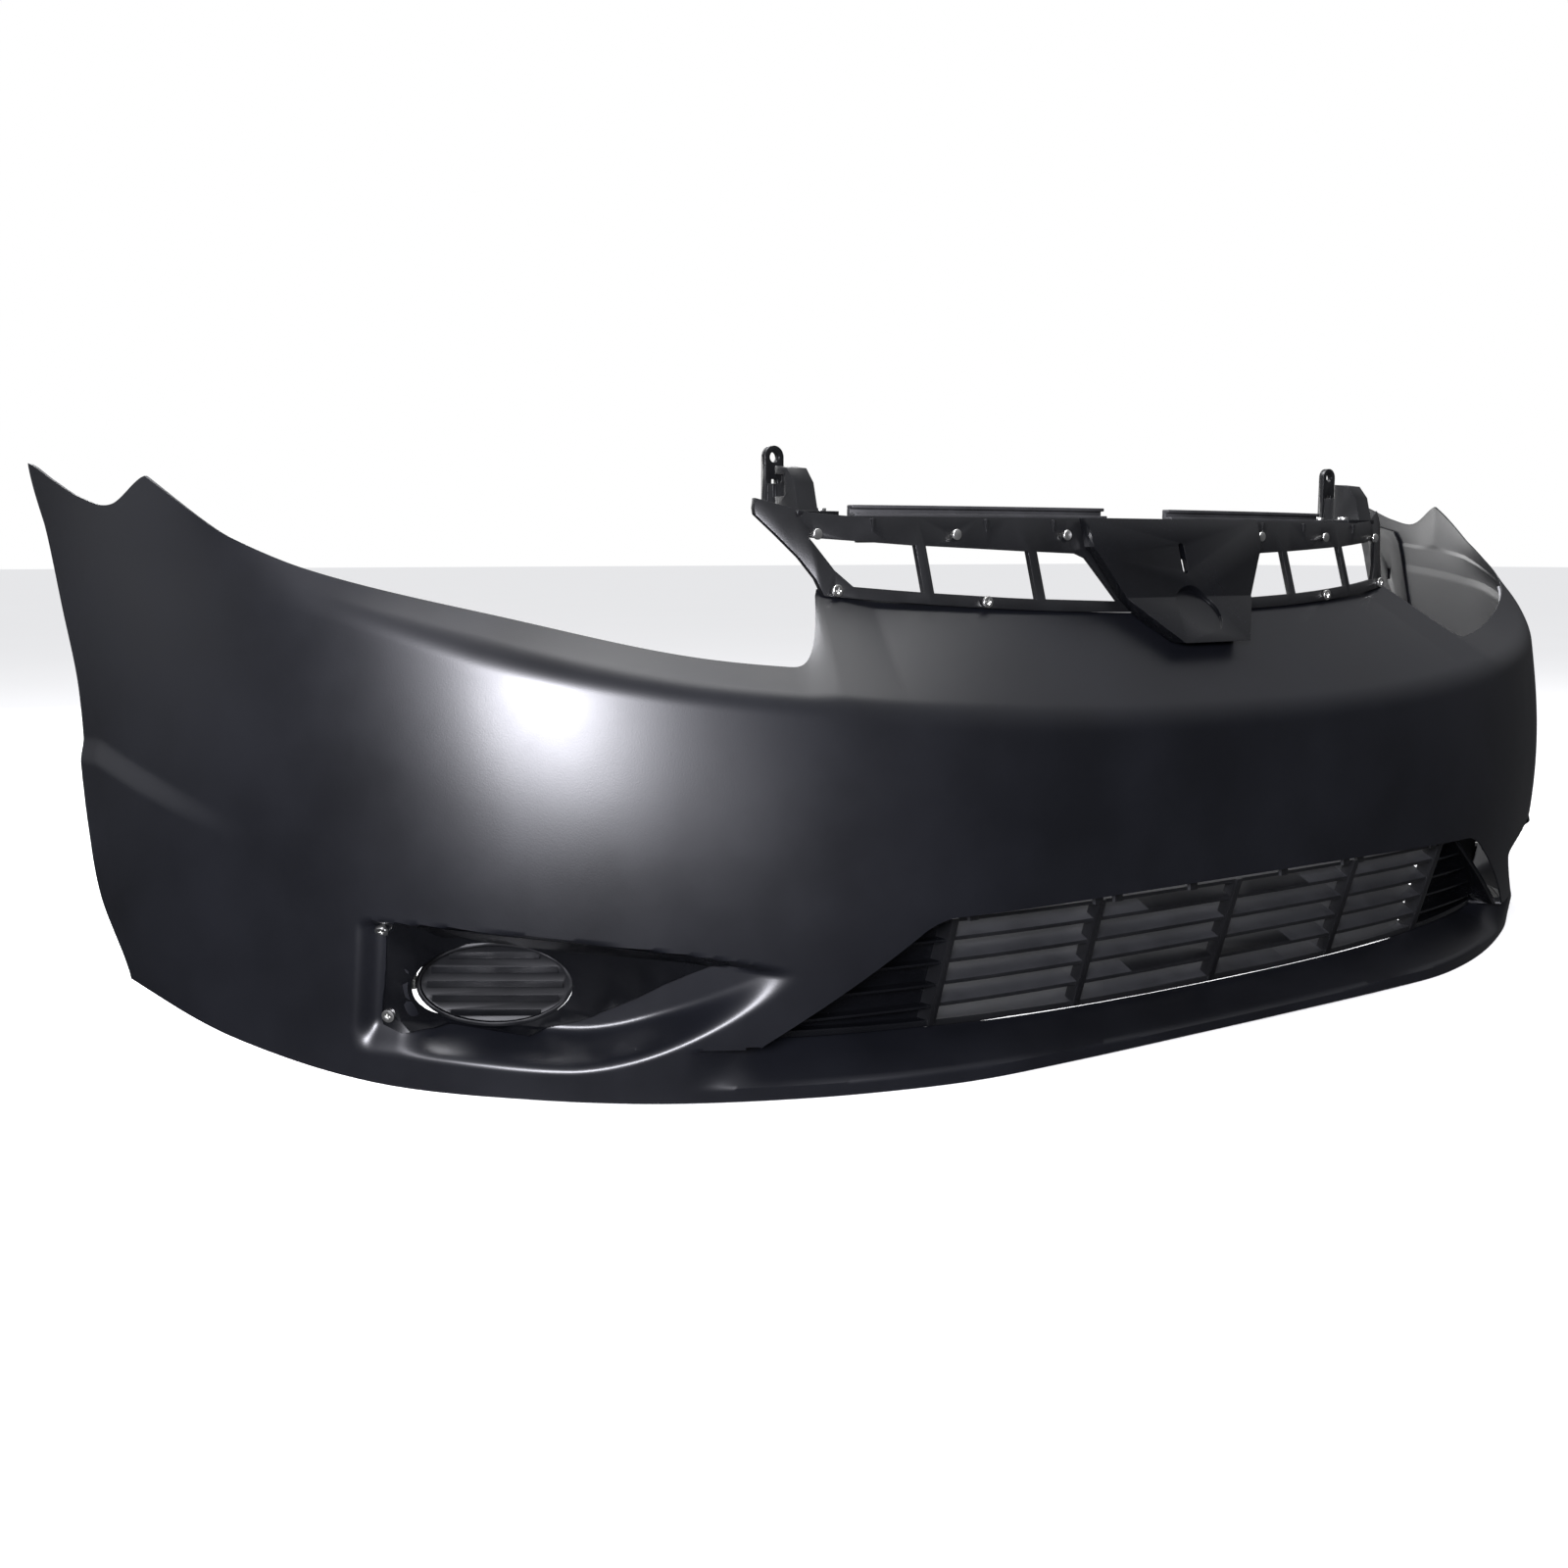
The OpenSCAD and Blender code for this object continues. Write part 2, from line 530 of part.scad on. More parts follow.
// ---- lower grille ----
grille_back_y = 34;
function grille_y(x, z) =
    plan_y(x) + 3 + grille_back_y * clamp01((intake_top_z + 4 - z) / (intake_top_z + 4 - intake_low_z));
rib_x = 167;
slat_low_z = intake_low_z + 3;
grille_top_z = intake_top_z - 6;
slat_pitch = (grille_top_z - slat_low_z) / slat_count;
end_panel_back = 14;
end_panel_t = 3;
// Section loop, from its lower back corner round the front
function bar_loop(x, y0, y1, z0, z1) = [[x, y1, z0], [x, y0, z0], [x, y0, z1], [x, y1, z1]];
module slat(z) {
    loft([for (x = range(-slat_x, slat_x, 24)) let (y = grille_y(x, z) + 1)
        [[x, y + slat_depth, z + slat_rise], [x, y, z],
         [x, y, z + slat_t], [x, y + slat_depth, z + slat_rise + slat_t]]]);
}
upright_depth = 11;
module upright(x, depth) {
    z0 = intake_low(x) + 1;
    translate([x - rib_w / 2, 0, 0]) rotate([90, 0, 90]) linear_extrude(rib_w)
        polygon([[grille_y(x, z0) - 1, z0], [grille_y(x, grille_top_z) - 1, grille_top_z],
            [grille_y(x, grille_top_z) + depth, grille_top_z], [grille_y(x, z0) + depth, z0]]);
}
function diagonal_z(x) =
    mix(intake_low(intake_low_x), intake_top_z, clamp01((intake_low_x - x) / (intake_low_x - intake_top_x)));
function end_top(x) = min(grille_top_z, diagonal_z(x) - 3);
cheek_t = 7;
cheek_gap = 3;
module end_zone() {
    // Closed panel behind the fins
    loft([for (x = range(slat_x, intake_low_x - 10, 14)) let (z0 = intake_low(x) + 1, z1 = end_top(x))
        [[x, grille_y(x, z0) + end_panel_back + end_panel_t, z0], [x, grille_y(x, z0) + end_panel_back, z0],
         [x, grille_y(x, z1) + end_panel_back, z1],
         [x, grille_y(x, z1) + end_panel_back + end_panel_t, z1]]]);
    for (i = [1 : slat_count - 1]) {
        z = slat_low_z + i * slat_pitch;
        x1 = intake_low_x - (z + 3 - intake_low(intake_low_x)) / (intake_top_z - intake_low(intake_low_x))
            * (intake_low_x - intake_top_x) - 3;
        loft([for (x = range(slat_x, x1, 10)) let (y = grille_y(x, z))
            bar_loop(x, y, y + end_panel_back + 1, z, z + 2)]);
    }
    // Slanted end cheek, from just behind the skin's front to the closed panel
    loft([for (z = range(intake_low(intake_low_x) + 1, grille_top_z, 8))
        let (x = intake_edge_x(z) - cheek_gap, y0 = plan_y(x) + skin_t + cheek_gap,
            y1 = grille_y(x, z) + end_panel_back + end_panel_t)
        [[x, y0, z], [x - cheek_t, y0, z], [x - cheek_t, y1, z], [x, y1, z]]]);
}
tab_x = [60, 150, 172, 300];
tab_w = 9;
tab_t = 4;
tab_foot_t = 3;
tab_rise = 14;
function tab_y(x) = plan_y(x) + skin_t + 2;
module lower_grille() {
    color("#16171a") resize([0, 0, 0]) {
        for (i = [0 : slat_count - 1]) slat(slat_low_z + i * slat_pitch);
        loft([for (x = range(-intake_low_x + 6, intake_low_x - 6, 36))
            let (z = intake_low(x) + fit_gap, y = grille_y(x, z))
            bar_loop(x, y, y + 16, z, z + 5)]);
        loft([for (x = range(-intake_top_x, intake_top_x, 28)) let (y = grille_y(x, grille_top_z))
            bar_loop(x, y + 2, y + 14, grille_top_z - 3, grille_top_z)]);
        for (x = [-rib_x, 0, rib_x]) upright(x, upright_depth);
        for (x = [-slat_x, slat_x]) upright(x, end_panel_back + end_panel_t / 2);
        both_sides() {
            end_zone();
            for (x = tab_x) translate([x - tab_w / 2, tab_y(x), grille_top_z - tab_foot_t]) {
                cube([tab_w, tab_t, intake_top_z + tab_rise - grille_top_z + tab_foot_t]);
                cube([tab_w, grille_y(x, grille_top_z) + 6 - tab_y(x), tab_foot_t]);
            }
        }
    }
}
module grille_clips() {
    clip_t = 1.2;
    clip_h = 9;
    leg = tab_t + 2;
    half = tab_w / 2 + fit_gap;
    color("silver") both_sides() for (x = tab_x)
        translate([x, tab_y(x) + tab_t + fit_gap, intake_top_z + 1]) {
            for (side_x = [-half - clip_t, half])
                translate([side_x, -leg, 0]) cube([clip_t, leg + clip_t, clip_h]);
            translate([-half - clip_t, 0, 0]) cube([2 * half + 2 * clip_t, clip_t, clip_h]);
        }
}

// ---- fog lamp pocket ----
bezel_t = 2.5;
bezel_gap = 0.8;
bezel_screw_out = 84.5;
// Station of the bezel screws, outboard of the pocket's centre
function bezel_screw_s(k) =
    let (t = station_of_x(fog_x + bezel_screw_out))
    t < wing_start ? t : wing_start + (1 - wing_start) * (t - wing_start) / (t_end(k) - wing_start);
bezel_screw_k = [0.16, 0.365];
function pocket_x(s) = skin(s, 0.3)[0] - fog_x;
bezel_s = [for (s = half_s) if (pocket_x(s) > -180 && pocket_x(s) < 118) s];
bezel_k = [for (k = skin_k) if (k > 0.09 && k < 0.52) k];
// Lower edge of the bezel in the front view, from the outer end, about the pocket's centre
bezel_low = [[80, -28], [72, -33], [35, -31], [-13, -39], [-48, -29], [-84, -11], [-108, 6], [-126, 19]];
module bezel_outline() {
    xs = range(fog_x - 126, fog_x + 80, 20);
    polygon(concat([for (p = bezel_low) [fog_x + p[0], fog_z + p[1]]],
        [for (x = xs) [x, fog_top(x) - 1]]));
}
module fog_bezel() {
    resize([0, 0, 0]) difference() {
        intersection() {
            skin_sheet(bezel_s, bezel_k, bezel_gap + bezel_t, bezel_gap);
            front_prism(front_y, rear_y) bezel_outline();
        }
        at_fog() oval_prism(oval_a + fit_gap, oval_b + fit_gap, -40, 40);
        bezel_screw_holes();
    }
}
module fog_bezel_right() { color("#141518") fog_bezel(); }
module fog_bezel_left() { color("#141518") mirror([1, 0, 0]) fog_bezel(); }

cup_wall = 3;
cup_front = -9;
cup_back = 14;
plate_y = -4;
louvre_h = 5;
louvre_pitch = 11.2;
module fog_cover() {
    in_a = oval_a - cup_wall;
    in_b = oval_b - cup_wall;
    at_fog() {
        difference() {
            oval_prism(oval_a, oval_b, cup_front, cup_back);
            oval_prism(in_a, in_b, cup_front - 1, plate_y);
            oval_prism(in_a, in_b, plate_y + 3, cup_back + 1);
        }
        for (i = [0 : louvre_count - 1]) {
            z = (i - (louvre_count - 1) / 2) * louvre_pitch * 5 / louvre_count;
            half = (in_a - 1) * sqrt(1 - pow(z / in_b, 2)) * 0.93;
            translate([-half, 0, z]) rotate([90, 0, 90]) linear_extrude(2 * half)
                polygon([[plate_y + 1, -louvre_h / 2], [plate_y - 4, -louvre_h / 2],
                    [plate_y + 1, louvre_h / 2]]);
        }
    }
}
module fog_cover_right() { color("#1a1b1e") fog_cover(); }
module fog_cover_left() { color("#1a1b1e") mirror([1, 0, 0]) fog_cover(); }

// One large spring clip on the outer end of the oval, three small ones on the inner end
small_clip_angle = [148, 165, 187];
module fog_cover_clips() {
    at_fog() {
        translate([oval_a + fit_gap, cup_front, -4]) cube([4.5, 8, 14]);
        for (a = small_clip_angle)
            translate([(oval_a + fit_gap) * cos(a), cup_front, (oval_b + fit_gap) * sin(a)])
                translate([-3.5, 0, -2]) cube([3, 5, 4.5]);
    }
}
module fog_cover_clips_right() { color("silver") fog_cover_clips(); }
module fog_cover_clips_left() { color("silver") mirror([1, 0, 0]) fog_cover_clips(); }

// Pan-head screw along +Z, its seat at Z = 0
screw_len = 16;
head_h = 2.6;
module screw(len) {
    difference() {
        union() {
            cylinder(h = head_h, r = head_r);
            translate([0, 0, -len]) cylinder(h = len, r = screw_r);
        }
        for (a = [0, 90]) rotate([0, 0, a]) translate([-2.6, -0.6, head_h - 1.4]) cube([5.2, 1.2, 2]);
    }
}
module bezel_screws() {
    for (k = bezel_screw_k) at_skin(bezel_screw_s(k), k)
        translate([0, 0, bezel_t + 2 * fit_gap]) screw(screw_len);
}
module bezel_screws_right() { color("silver") bezel_screws(); }
module bezel_screws_left() { color("silver") mirror([1, 0, 0]) bezel_screws(); }

nut_size = 14;
nut_t = 2;
nut_barrel = 5;
module bezel_speed_nuts() {
    for (k = bezel_screw_k) at_skin(bezel_screw_s(k), k) translate([0, 0, -skin_t - fit_gap]) difference() {
        union() {
            translate([-nut_size / 2, -nut_size / 2, -nut_t]) cube([nut_size, nut_size, nut_t]);
            translate([0, 0, -nut_t - nut_barrel]) cylinder(h = nut_barrel + 1, r = screw_r + 2);
        }
        cylinder(h = 40, r = screw_r + hole_gap / 2, center = true);
    }
}
module bezel_speed_nuts_right() { color("silver") bezel_speed_nuts(); }
module bezel_speed_nuts_left() { color("silver") mirror([1, 0, 0]) bezel_speed_nuts(); }

// ---- brackets inside the wings ----
inner_gap = skin_t + fit_gap;
strip_t = 2.5;
lamp_strip_s = [for (s = range(0.60, 0.66, 4)) s];
lamp_strip_k = [1, 1.33, 1.67, 2, 2.33, 2.67, 2.9];
module headlamp_bracket() {
    difference() {
        skin_sheet(lamp_strip_s, lamp_strip_k, -inner_gap, -inner_gap - strip_t);
        for (k = [1.5, 2.1, 2.6]) at_skin(0.63, k) cube([4, 22, 30], center = true);
    }
}
module headlamp_bracket_right() { color("#8f9092") headlamp_bracket(); }
module headlamp_bracket_left() { color("#8f9092") mirror([1, 0, 0]) headlamp_bracket(); }

retainer_s = range(0.93, 0.985, 3);
retainer_k = concat(range(0.55, 1, 9), [1.5, 2, 2.5]);
module side_retainer() {
    difference() {
        skin_sheet(retainer_s, retainer_k, -inner_gap, -inner_gap - strip_t);
        for (k = [0.65, 0.8, 0.95]) at_skin(0.957, k) cube([14, 7, 30], center = true);
    }
}
module side_retainer_right() { color("#17181b") side_retainer(); }
module side_retainer_left() { color("#17181b") mirror([1, 0, 0]) side_retainer(); }

// ---- screws and clips of the upper grille base ----
module nose_screws() {
    color("silver") both_sides() for (x = nose_screw_x)
        translate([x, base_face_y(x, nose_screw_z(x) + head_r) - 3.5 * fit_gap - 1, nose_screw_z(x)])
            rotate([90, 0, 0]) screw(screw_len);
}
module bracket_screws() {
    color("silver") both_sides() for (y = foot_screw_y)
        translate([foot_screw_x, y, base_top_z + foot_t]) screw(screw_len);
}
clip_r = 2.5;
clip_head_r = 4.5;
module rail_clips() {
    color("silver") both_sides() for (x = rail_clip_x)
        translate([x, base_face_y(x, rail_clip_z - clip_head_r) - 1.5, rail_clip_z]) rotate([90, 0, 0]) {
            cylinder(h = 2, r = clip_head_r);
            translate([0, 0, -18]) cylinder(h = 18, r = clip_r);
        }
}

bumper_cover();
upper_grille_base();
emblem_panel();
support_bracket_left();
support_bracket_right();
top_seal_left();
top_seal_right();
lower_grille();
fog_bezel_left();
fog_bezel_right();
fog_cover_left();
fog_cover_right();
fog_cover_clips_left();
fog_cover_clips_right();
bezel_screws_left();
bezel_screws_right();
bezel_speed_nuts_left();
bezel_speed_nuts_right();
headlamp_bracket_left();
headlamp_bracket_right();
side_retainer_left();
side_retainer_right();
nose_screws();
bracket_screws();
rail_clips();
grille_clips();
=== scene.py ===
import math

import bmesh
import bpy
import numpy as np
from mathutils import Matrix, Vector


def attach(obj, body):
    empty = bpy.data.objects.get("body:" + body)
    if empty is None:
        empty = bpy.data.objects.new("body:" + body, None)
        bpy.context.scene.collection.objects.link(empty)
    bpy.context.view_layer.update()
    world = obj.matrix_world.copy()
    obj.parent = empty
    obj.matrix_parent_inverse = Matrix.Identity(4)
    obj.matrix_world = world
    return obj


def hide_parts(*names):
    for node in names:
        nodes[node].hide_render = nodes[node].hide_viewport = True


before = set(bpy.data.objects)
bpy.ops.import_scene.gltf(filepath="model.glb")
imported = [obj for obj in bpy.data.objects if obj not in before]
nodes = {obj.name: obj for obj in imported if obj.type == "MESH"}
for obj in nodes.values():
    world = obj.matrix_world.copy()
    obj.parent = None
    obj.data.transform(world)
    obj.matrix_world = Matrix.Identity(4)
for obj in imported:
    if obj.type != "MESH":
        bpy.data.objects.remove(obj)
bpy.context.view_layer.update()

MM = 0.001

# ---------------------------------------------------------------- skin surface, in mm
# The same surface as in part.scad. The station t runs along the plan curve, from 0 at the
# nose to 1 at the wing's end, and s is t with a sign, minus on the left. k runs up a section:
# -1 to 0 the lower flange, 0 to 1 the face, 1 to 2 the shoulder's arc, 2 to 3 the slope above.
COVER_W, COVER_D = 1738.0, 574.0
POWER, PLAN_ANGLE = 3.0, 66.0       # superellipse: its power, and the degrees of it on a side
LIP_PROUD, FLANGE, SKIN_T = 8.0, 24.0, 3.0
FRONT_Y, REAR_Y = -COVER_D / 2 + LIP_PROUD, COVER_D / 2

SHOULDER_Z, NOSE_Z, TIP_Z, CORNER_Z = 280.0, 363.0, 490.0, 75.0
SHOULDER_RISE = [0, 1, 5, 13, 24, 38, 59, 90, 118, 133, 148]
LIP_RISE = [3, 3, 2, 0, 0, 2, 8, 16, 40, 76, 95]
SHOULDER_R = 14.0                   # reach of the shoulder's arc, each way
NOSE_RUN, NOSE_RUN_GROWS, NOSE_CROWN = 82.0, 32, 18
BASE_X = 362.0                      # end of the grille base

WING = 0.6                          # from this station on, the grid stretches to the arch
LAMP_START, LAMP_END = 0.45, 0.859  # stations of the headlamp cut-out
LAMP_EDGE = [-46, -46, -45, -38, -25, 6, 41, 92]
LAMP_TIP_RISE, LAMP_TIP_SPAN, LAMP_TIP_POWER = 20, 0.069, 1.5
LAMP_IN_X, LAMP_R, LAMP_RUN = BASE_X + 56, 36.0, 40.0
WING_EDGE = [-15, -36, -30, -15, 0]
ARCH_Y = [-132, -95, -81, -74, -68, -49, -29, 0]
END_Z = [CORNER_Z, TIP_Z - 79, TIP_Z - 51, TIP_Z]

# Pairs are a station and the span after it, over which something comes or goes
LIP_FADES, FOOT_FADES, FOOT_INSET = (0.25, 0.25), (0.65, 0.2), 8
BELLY, BELLY_POWER, BELLY_COMES, BELLY_GOES = 17.0, 1.1, (0.08, 0.37), (0.6, 0.35)
LEDGE_PROUD, LEDGE_Z, LEDGE_SOFT = 5.0, (203, 256), 22
LEDGE_CLIMBS, LEDGE_COMES = (0.78, 0.14), (0.76, 0.14)

FOG_X, FOG_Y, FOG_Z, FOG_YAW, FOG_DEPTH = 631.0, -84.0, 89.0, 35.0, 40.0
OVAL_A, OVAL_B, OVAL_GAP = 60.0, 33.0, 3.0
OVAL_NEAR = 70                      # the oval cuts nothing farther than this from its plane
FOG_OUT, FOG_IN, FOG_FULL = FOG_X + 100, FOG_X - 182, FOG_X - 58
FOG_TOP_OUT, FOG_TOP_IN, FOG_TOP_BULGE = 58, 14, 20
FOG_LOW_X, FOG_LOW_MID, FOG_LOW_IN, FOG_LOW_OUT = FOG_X - 26, -60, 13, -50
FOG_LOW_POWER, FOG_LOW_RUN = 1.7, 120
FOG_SEAT_D, FOG_SEAT_W, FOG_SEAT_WALL = 11.0, 22.0, 10
FOG_WALL, FOG_TOP_WALL = 26, 9

IN_LOW_X, IN_TOP_X, IN_LOW_Z, IN_TOP_Z, SHELF = 482.0, 347.0, 31.0, 136.0, 45.0
IN_LOW_CURVE = 12
IN_CORNER_Z = IN_LOW_Z + IN_LOW_CURVE
IN_SIDE_WALL, IN_TOP_WALL, IN_LOW_BACK, IN_LOW_WALL, SHELF_Z = 30, 20, 20, 70, 12
IN_TOP_R, IN_LOW_R, IN_BEHIND = 9, 3, 140
FAR = 50.0                          # a gap larger than any that matters

# Lower grille: where its slats end, its inner upright stands, and half an upright's width
SLAT_X, RIB_X, RIB_HALF = 317.0, 167.0, 3.7


def c01(v):
    return np.clip(v, 0.0, 1.0)


def ease(v):
    c = c01(v)
    return c * c * (3 - 2 * c)


def comes(v, start, span):
    return ease((v - start) / span)


def mix(a, b, f):
    return a + (b - a) * f


def spline(lst, t):
    # Catmull-Rom through evenly spaced values, as in part.scad
    lst = np.asarray(lst, float)
    n = len(lst) - 1
    s = c01(t) * n
    i = np.minimum(n - 1, np.floor(s)).astype(int)
    f = s - i
    a, b, c, d = (lst[np.clip(i + j, 0, n)] for j in (-1, 0, 1, 2))
    return b + 0.5 * f * ((c - a) + f * ((2 * a - 5 * b + 4 * c - d) + f * (3 * (b - c) + d - a)))


PLAN_SIN, PLAN_COS = math.sin(math.radians(PLAN_ANGLE)), math.cos(math.radians(PLAN_ANGLE))
PLAN_END = (PLAN_SIN ** POWER + PLAN_COS ** POWER) ** (-1 / POWER)
PLAN_W = COVER_W / 2 / (PLAN_END * PLAN_SIN)
PLAN_D = (REAR_Y - FRONT_Y) / (1 - PLAN_END * PLAN_COS)


def plan(t, inset):
    a, b = np.sin(np.radians(PLAN_ANGLE * t)), np.cos(np.radians(PLAN_ANGLE * t))
    r = (np.abs(a) ** POWER + np.abs(b) ** POWER) ** (-1 / POWER)
    return (PLAN_W - inset) * r * a, FRONT_Y + PLAN_D - (PLAN_D - inset) * r * b


def station_of_y(y):
    b = c01((FRONT_Y + PLAN_D - y) / PLAN_D)
    return np.degrees(np.arctan2((1 - b ** POWER) ** (1 / POWER), b)) / PLAN_ANGLE


def nose_top(x):
    return NOSE_Z + NOSE_CROWN * (x / BASE_X) ** 2


def wing_top(t):
    tip = c01((t - LAMP_END) / LAMP_TIP_SPAN + 1) ** LAMP_TIP_POWER
    near = NOSE_Z + spline(LAMP_EDGE, t / LAMP_END) + LAMP_TIP_RISE * tip
    far = TIP_Z + spline(WING_EDGE, (t - LAMP_END) / (1 - LAMP_END))
    return np.where(t < LAMP_END, near, far)


def lamp_rise(x):
    return (1 - c01((np.abs(x) - LAMP_IN_X) / LAMP_R)) ** 3


def edge_z(t, x):
    return mix(wing_top(t), nose_top(np.minimum(np.abs(x), LAMP_IN_X)), lamp_rise(x))


def edge_run(t, x):
    f = c01(np.abs(x) / BASE_X)
    wing = LAMP_RUN * (1 - comes(t, LAMP_START, LAMP_END - LAMP_START))
    return mix(wing, NOSE_RUN + NOSE_RUN_GROWS * f * f, lamp_rise(x))


def face_inset(t, h):
    foot = mix(-LIP_PROUD, FOOT_INSET * (1 - comes(t, *FOOT_FADES)), comes(t, *LIP_FADES))
    belly = BELLY * comes(t, *BELLY_COMES) * (1 - comes(t, *BELLY_GOES))
    return foot * (1 - h * h) - belly * np.sin(np.pi * c01(h) ** BELLY_POWER)


def section(t, k):
    # inset from the plan curve, and height
    x = plan(t, 0)[0]
    low = np.maximum(0, spline(LIP_RISE, t))
    mid = SHOULDER_Z + spline(SHOULDER_RISE, t)
    top, run = edge_z(t, x), edge_run(t, x)
    slope = np.maximum(1, np.sqrt(run * run + (top - mid) ** 2))
    reach = np.minimum(SHOULDER_R, 0.4 * slope)
    a0, a1 = face_inset(t, (mid - reach - low) / (mid - low)), mid - reach
    d0, d1 = run / slope, (top - mid) / slope
    b0, b1 = reach * d0, mid + reach * d1
    u = k - 1
    h = (a1 - low) * c01(k) / (mid - low)
    parts = [k < 0, k <= 1, k <= 2]
    inset = np.select(parts, [mix(face_inset(t, 0 * t), FLANGE, -k),
                              face_inset(t, h),
                              (1 - u) ** 2 * a0 + u * u * b0], mix(b0, run, k - 2))
    z = np.select(parts, [low + 2 * -k,
                          mix(low, a1, k),
                          (1 - u) ** 2 * a1 + 2 * u * (1 - u) * mid + u * u * b1],
                  mix(b1, top, k - 2))
    return inset, z


def fog_top(x):
    f = c01((FOG_OUT - x) / (FOG_OUT - FOG_IN))
    return FOG_Z + mix(FOG_TOP_OUT, FOG_TOP_IN, f) + FOG_TOP_BULGE * f * (1 - f)


def fog_low(x):
    f = c01((FOG_LOW_X - x) / (FOG_LOW_X - FOG_IN)) ** FOG_LOW_POWER
    inner = mix(FOG_LOW_MID, FOG_LOW_IN, f)
    outer = mix(FOG_LOW_MID, FOG_LOW_OUT, comes(x, FOG_LOW_X, FOG_LOW_RUN))
    return FOG_Z + np.where(x < FOG_LOW_X, inner, outer)


def fog_recess(x, z):
    along = comes(x, FOG_IN, FOG_FULL - FOG_IN)
    seat = FOG_SEAT_D * ease((FOG_OUT - x) / FOG_SEAT_WALL)
    deep = (FOG_DEPTH - FOG_SEAT_D) * ease((FOG_OUT - FOG_SEAT_W - x) / FOG_WALL)
    up = ease((fog_top(x) - z) / FOG_TOP_WALL) * ease((z - fog_low(x)) / FOG_WALL)
    return (seat + deep) * along * up


def intake_low(x):
    return IN_LOW_Z + IN_LOW_CURVE * (x / IN_LOW_X) ** 2


def intake_edge_x(z):
    return mix(IN_LOW_X, IN_TOP_X, c01((z - IN_CORNER_Z) / (IN_TOP_Z - IN_CORNER_Z)))


def intake_recess(x, z):
    low = intake_low(np.minimum(x, IN_LOW_X))
    side = np.where(z > low,
                    1 - comes(x, intake_edge_x(z) - IN_SIDE_WALL, IN_SIDE_WALL),
                    1 - comes(x, IN_LOW_X - IN_LOW_BACK, IN_LOW_WALL))
    up = c01((z - SHELF_Z) / (low - SHELF_Z)) * ease((IN_TOP_Z - z) / IN_TOP_WALL)
    return np.where(z > IN_TOP_Z, 0, SHELF * side * up)


def ledge(t, z):
    start, span = LEDGE_CLIMBS
    mid = mix(*LEDGE_Z, c01((t - start) / span))
    return LEDGE_PROUD * ease((mid - z + LEDGE_SOFT / 2) / LEDGE_SOFT) * comes(t, *LEDGE_COMES)


def station_of_end(k):
    z = np.interp(k, range(len(END_Z)), END_Z)
    return station_of_y(REAR_Y + spline(ARCH_Y, (z - CORNER_Z) / (TIP_Z - CORNER_Z)))


def skin(s, k):
    a = np.abs(s)
    t = np.where(a < WING, a, mix(WING, station_of_end(k), (a - WING) / (1 - WING)))
    inset, z = section(t, k)
    x = plan(t, inset)[0]
    extra = np.where(k < 0, 0, fog_recess(x, z) + intake_recess(x, z) - ledge(t, z))
    qx, qy = plan(t, inset + extra)
    return np.stack([np.where(s < 0, -qx, qx), qy, z], -1)


# ---------------------------------------------------------------- openings in the skin
def rounded_max(a, b, r):
    # largest of two distances, with the corner between them rounded
    near = np.hypot(np.maximum(a + r, 0), np.maximum(b + r, 0)) - r
    return np.where((a > -r) & (b > -r), near, np.maximum(a, b))


def intake_gap(p):
    # negative inside the intake's outline in the front view
    x, z = np.abs(p[..., 0]), p[..., 2]
    ux, uz = IN_TOP_Z - IN_CORNER_Z, IN_LOW_X - IN_TOP_X
    side = ((x - IN_LOW_X) * ux + (z - IN_CORNER_Z) * uz) / math.hypot(ux, uz)
    gap = rounded_max(z - IN_TOP_Z, side, IN_TOP_R)
    gap = rounded_max(gap, intake_low(x) - z, IN_LOW_R)
    return np.where(p[..., 1] > FRONT_Y + IN_BEHIND, FAR, gap)


def fog_gap(p):
    # negative inside the oval, which is seen along its own axis
    cos, sin = math.cos(math.radians(FOG_YAW)), math.sin(math.radians(FOG_YAW))
    x, y, z = np.abs(p[..., 0]) - FOG_X, p[..., 1] - FOG_Y, p[..., 2] - FOG_Z
    a, b = OVAL_A + OVAL_GAP, OVAL_B + OVAL_GAP
    r = np.sqrt(((x * cos + y * sin) / a) ** 2 + (z / b) ** 2)
    return np.where(np.abs(-x * sin + y * cos) > OVAL_NEAR, FAR, (r - 1) * b)


def skin_gap(p):
    return np.minimum(intake_gap(p), fog_gap(p))


